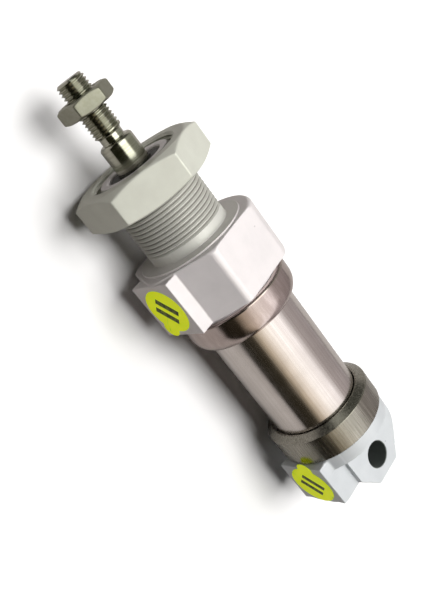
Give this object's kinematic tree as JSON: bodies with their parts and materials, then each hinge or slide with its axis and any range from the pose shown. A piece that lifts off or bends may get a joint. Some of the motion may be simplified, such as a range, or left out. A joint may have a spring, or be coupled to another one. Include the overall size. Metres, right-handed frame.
{
  "type": "pneumatic cylinder",
  "caption": "Round-bodied double-acting air cylinder with threaded front neck and nut, threaded rod with lock nut, clamped steel tube, and rear cap with a pivot eye.",
  "frame": {"origin": "on the cylinder axis, at the front mounting shoulder where the threaded neck starts", "axes": "+X along the cylinder axis towards the rod end, +Y towards the face of the two air ports, +Z along the rear eye's hole"},
  "size_m": [0.1795, 0.0481, 0.0484],
  "materials": {
    "cap_aluminium": "satin anodised",
    "nut_aluminium": "satin anodised",
    "stainless_tube": "brushed, bright",
    "stainless_ring": "polished, rolled",
    "rod_steel": "ground and polished",
    "lock_nut_steel": "dull plated",
    "sticker_yellow": "printed film",
    "black_rubber": "moulded",
    "green_rubber": "moulded",
    "bronze_bush": "sintered",
    "dark_magnet": "bonded magnet",
    "white_guide": "moulded",
    "piston_aluminium": "turned",
    "zinc_steel": "zinc plated"
  },
  "bodies": {
    "barrel": {"front_cap": "cap_aluminium", "rear_cap": "cap_aluminium", "barrel_tube": "stainless_tube", "front_crimp_ring": "stainless_ring", "rear_crimp_ring": "stainless_ring", "rod_wiper_seal": "black_rubber", "rod_seal": "green_rubber", "rod_bearing_bush": "bronze_bush", "front_cap_o_ring": "black_rubber", "rear_cap_o_ring": "black_rubber", "front_bumper": "black_rubber", "rear_bumper": "black_rubber", "front_port_sticker": "sticker_yellow", "rear_port_sticker": "sticker_yellow"},
    "piston_rings": {"front_piston_seal": "green_rubber", "rear_piston_seal": "green_rubber", "magnet_ring": "dark_magnet", "wear_ring": "white_guide"},
    "rod": {"piston_rod": "rod_steel", "piston_front_half": "piston_aluminium", "piston_rear_half": "piston_aluminium", "piston_o_ring": "black_rubber", "piston_washer": "zinc_steel", "piston_nut": "zinc_steel"},
    "lock_nut": {"rod_lock_nut": "lock_nut_steel"},
    "mounting_nut": {"mounting_nut": "nut_aluminium"}
  },
  "joints": [
    {"name": "rod_stroke", "type": "slide", "parent": "barrel", "child": "piston_rings", "axis": [1, 0, 0], "range_m": [0, 0.025]},
    {"name": "rod_turn", "type": "hinge", "parent": "piston_rings", "child": "rod", "pos_m": [-0.06915, 0, 0], "axis": [1, 0, 0], "continuous": true},
    {"name": "lock_nut_travel", "type": "slide", "parent": "rod", "child": "lock_nut", "axis": [1, 0, 0], "range_m": [-0.0071, 0.0059]},
    {"name": "mounting_nut_travel", "type": "slide", "parent": "barrel", "child": "mounting_nut", "axis": [1, 0, 0], "range_m": [-0.016, 0.006]}
  ]
}
